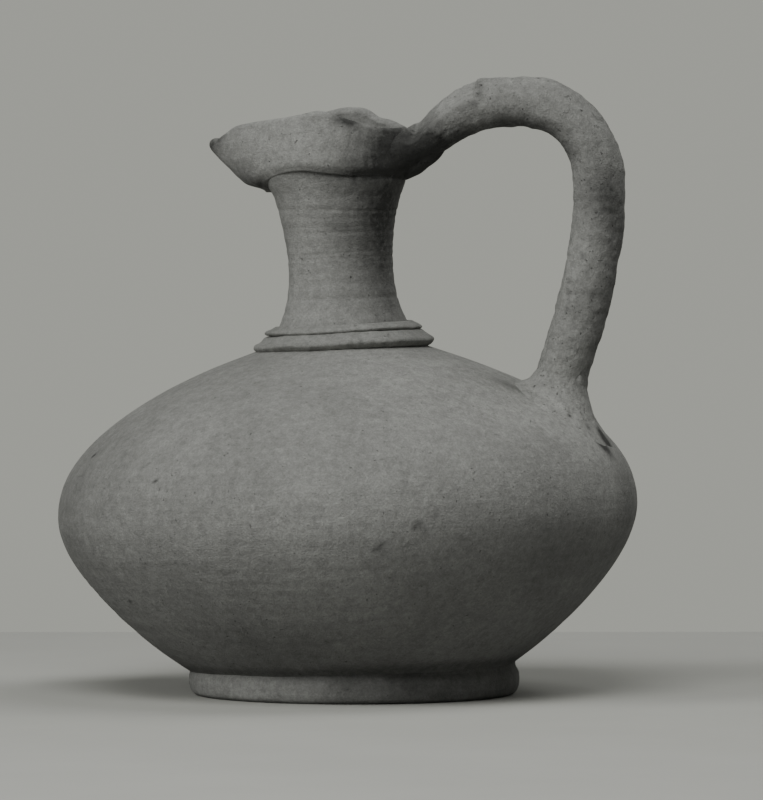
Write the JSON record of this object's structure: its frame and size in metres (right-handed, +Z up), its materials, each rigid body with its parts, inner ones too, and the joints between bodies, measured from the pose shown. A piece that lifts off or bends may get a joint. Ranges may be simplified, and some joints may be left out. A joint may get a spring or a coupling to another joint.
{
  "type": "beak spouted jug",
  "caption": "Squat wheel-thrown pottery jug on a foot ring, with a banded concave neck, a mouth pinched to a beak spout and a thick coil handle from mouth to shoulder.",
  "frame": {"origin": "on the resting plane, straight below the middle of the belly", "axes": "+Z up, -X towards the beak, +X towards the handle, XZ is the plane of symmetry"},
  "size_m": [0.2263, 0.2264, 0.2411],
  "materials": {
    "thrown_ware": "matte, mottled grey, wheel lines",
    "foot_ware": "matte, worn smooth",
    "band_ware": "matte, hand laid",
    "handle_ware": "matte, pitted, wiped lengthwise"
  },
  "bodies": {
    "root": {"body": "thrown_ware", "foot_ring": "foot_ware", "neck": "thrown_ware", "collar_lower": "band_ware", "collar_upper": "band_ware", "beak_mouth": "thrown_ware", "handle": "handle_ware", "handle_root_pad": "handle_ware", "handle_shoulder_pad": "handle_ware"}
  },
  "joints": []
}
